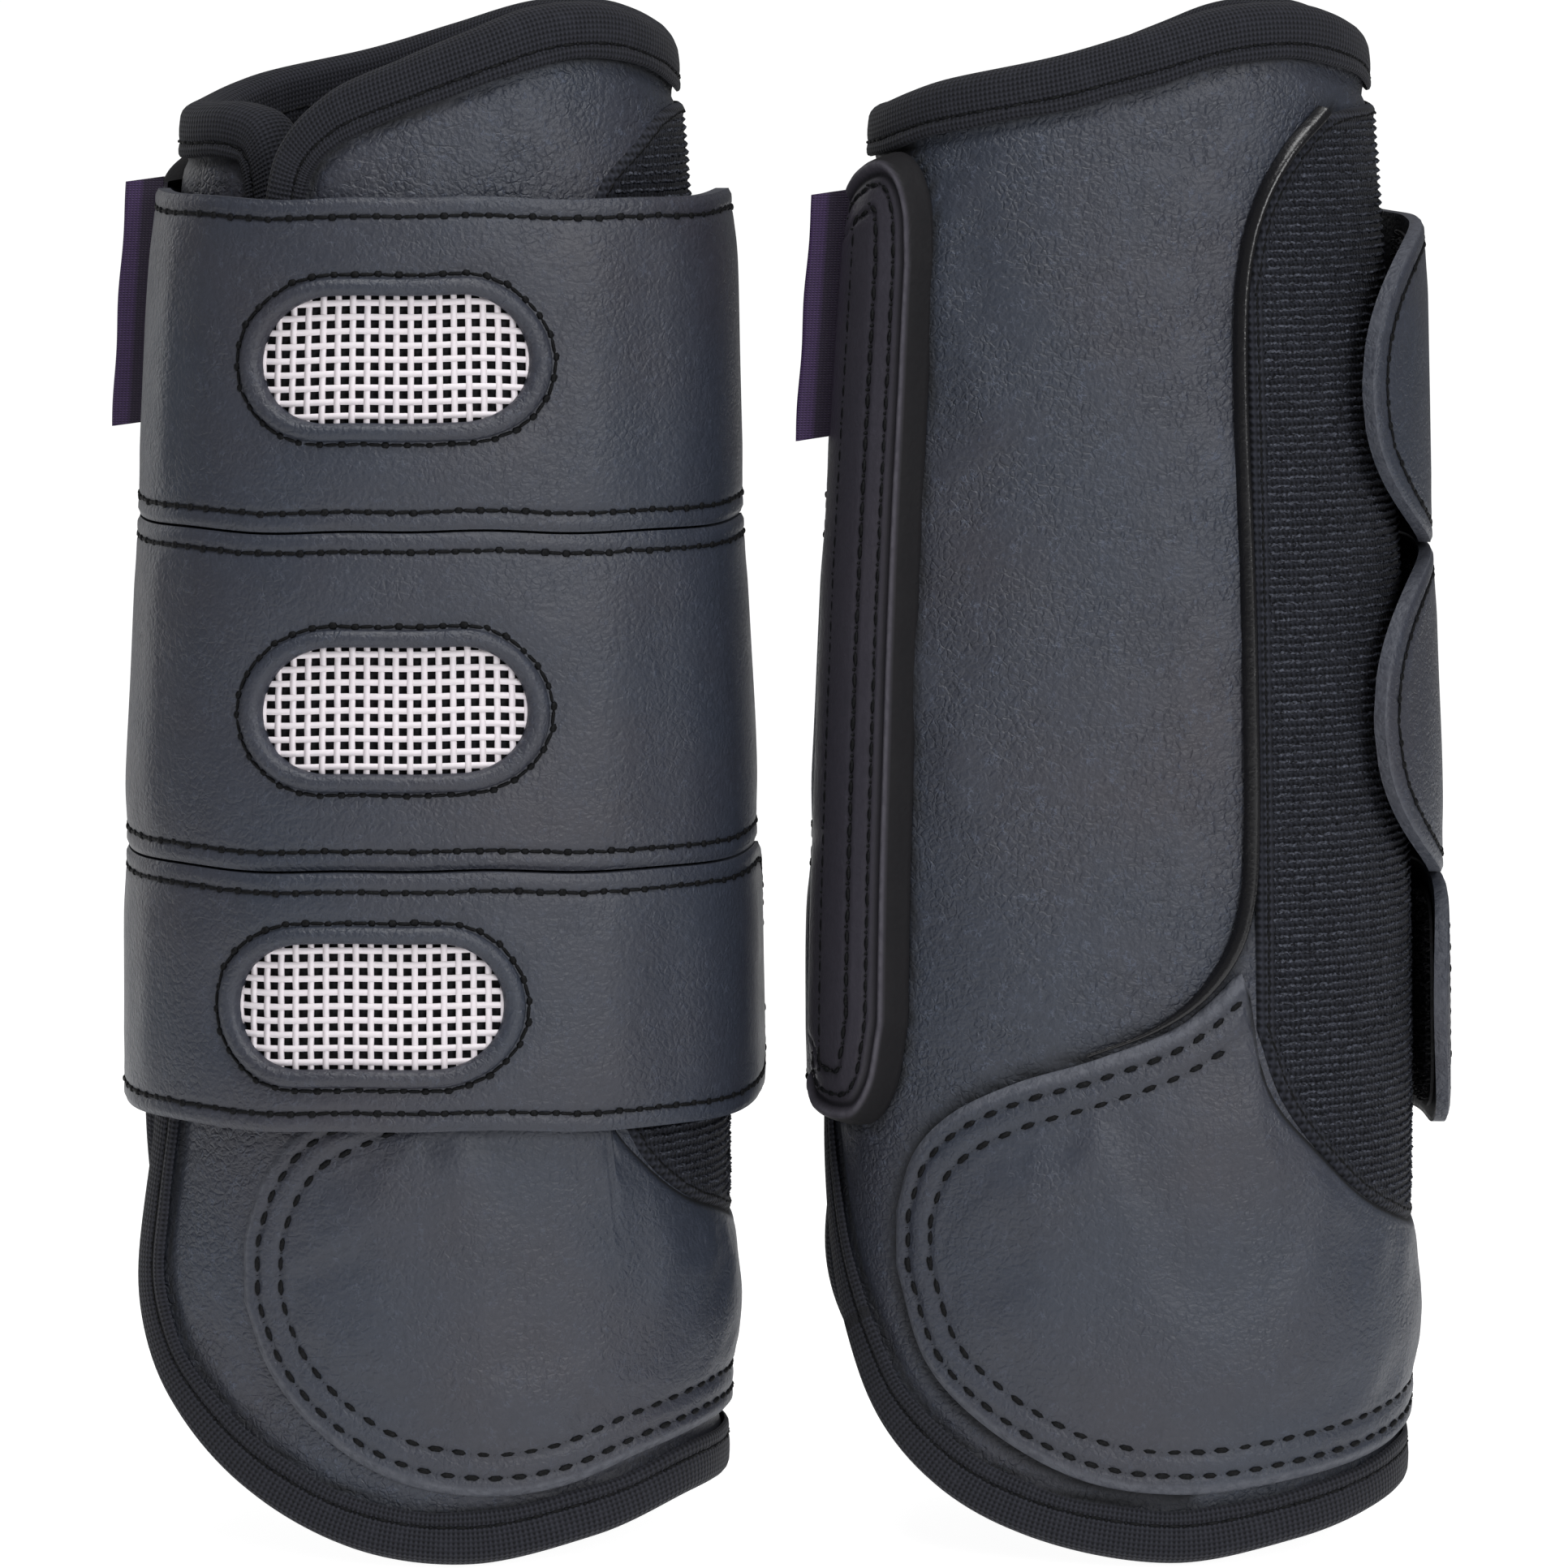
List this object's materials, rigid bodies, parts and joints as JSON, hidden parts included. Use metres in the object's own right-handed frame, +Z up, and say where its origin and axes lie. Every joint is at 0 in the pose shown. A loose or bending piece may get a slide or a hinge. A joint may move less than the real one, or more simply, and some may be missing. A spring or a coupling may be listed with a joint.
{
  "type": "tendon boots",
  "caption": "Closed horse tendon boots, left and right, with a cupped leather shell, a padded strike pad behind the leg and vented hook-and-loop straps.",
  "frame": {"origin": "on the left leg's long axis, level with the lowest edge of the boots, where that leg fills the left boot", "axes": "+Z up the leg, +X towards the back of the legs, -Y towards the outer side of the left leg"},
  "size_m": [0.2219, 0.0939, 0.2537],
  "materials": {
    "leather": "fine-grained slate grey synthetic leather, soft sheen",
    "panel": "near-black smooth coated leather, satin to glossy",
    "binding": "black fine-ribbed knitted binding tape, matt",
    "lining": "black knitted lining fabric, matt",
    "foam": "dark closed-cell shock foam, matt, hidden",
    "loop": "black brushed loop tape with fine ribs",
    "hook": "black moulded hook tape",
    "mesh": "white coated open mesh",
    "label": "dark purple woven label, plain"
  },
  "bodies": {
    "left_boot": {"left_outer_shell": "leather", "left_foam_core": "foam", "left_lining": "lining", "left_edge_binding": "binding", "left_strike_pad": "leather", "left_loop_field": "loop", "left_spine_piping": "panel", "left_anchor_panel": "panel", "left_label_tab": "label", "left_strap_base_upper": "leather", "left_strap_base_middle": "leather", "left_strap_base_lower": "leather"},
    "left_strap_upper": {"left_strap_upper": "leather", "left_hook_patch_upper": "hook", "left_vent_rim_upper": "leather", "left_vent_mesh_upper": "mesh"},
    "left_strap_middle": {"left_strap_middle": "leather", "left_hook_patch_middle": "hook", "left_vent_rim_middle": "leather", "left_vent_mesh_middle": "mesh"},
    "left_strap_lower": {"left_strap_lower": "leather", "left_hook_patch_lower": "hook", "left_vent_rim_lower": "leather", "left_vent_mesh_lower": "mesh"},
    "right_boot": {"right_outer_shell": "leather", "right_foam_core": "foam", "right_lining": "lining", "right_edge_binding": "binding", "right_strike_pad": "leather", "right_loop_field": "loop", "right_spine_piping": "panel", "right_anchor_panel": "panel", "right_label_tab": "label", "right_strap_base_upper": "leather", "right_strap_base_middle": "leather", "right_strap_base_lower": "leather"},
    "right_strap_upper": {"right_strap_upper": "leather", "right_hook_patch_upper": "hook", "right_vent_rim_upper": "leather", "right_vent_mesh_upper": "mesh"},
    "right_strap_middle": {"right_strap_middle": "leather", "right_hook_patch_middle": "hook", "right_vent_rim_middle": "leather", "right_vent_mesh_middle": "mesh"},
    "right_strap_lower": {"right_strap_lower": "leather", "right_hook_patch_lower": "hook", "right_vent_rim_lower": "leather", "right_vent_mesh_lower": "mesh"}
  },
  "joints": [
    {"name": "left_strap_upper_opens", "type": "hinge", "parent": "left_boot", "child": "left_strap_upper", "pos_m": [-0.04215, -0.02533, 0.196], "axis": [0, 0, -1], "range_deg": [0, 90]},
    {"name": "left_strap_middle_opens", "type": "hinge", "parent": "left_boot", "child": "left_strap_middle", "pos_m": [-0.04464, -0.02577, 0.141], "axis": [0, 0, -1], "range_deg": [0, 90]},
    {"name": "left_strap_lower_opens", "type": "hinge", "parent": "left_boot", "child": "left_strap_lower", "pos_m": [-0.05018, -0.01534, 0.093], "axis": [0, 0, -1], "range_deg": [0, 90]},
    {"name": "right_strap_upper_opens", "type": "hinge", "parent": "right_boot", "child": "right_strap_upper", "pos_m": [0.07131, 0.02535, 0.196], "axis": [0, 0, 1], "range_deg": [0, 90]},
    {"name": "right_strap_middle_opens", "type": "hinge", "parent": "right_boot", "child": "right_strap_middle", "pos_m": [0.06884, 0.02578, 0.141], "axis": [0, 0, 1], "range_deg": [0, 90]},
    {"name": "right_strap_lower_opens", "type": "hinge", "parent": "right_boot", "child": "right_strap_lower", "pos_m": [0.06332, 0.01534, 0.093], "axis": [0, 0, 1], "range_deg": [0, 90]},
    {"name": "right_boot_moves_away", "type": "slide", "parent": "left_boot", "child": "right_boot", "axis": [1, 0, 0], "range_m": [0, 0.2]}
  ]
}
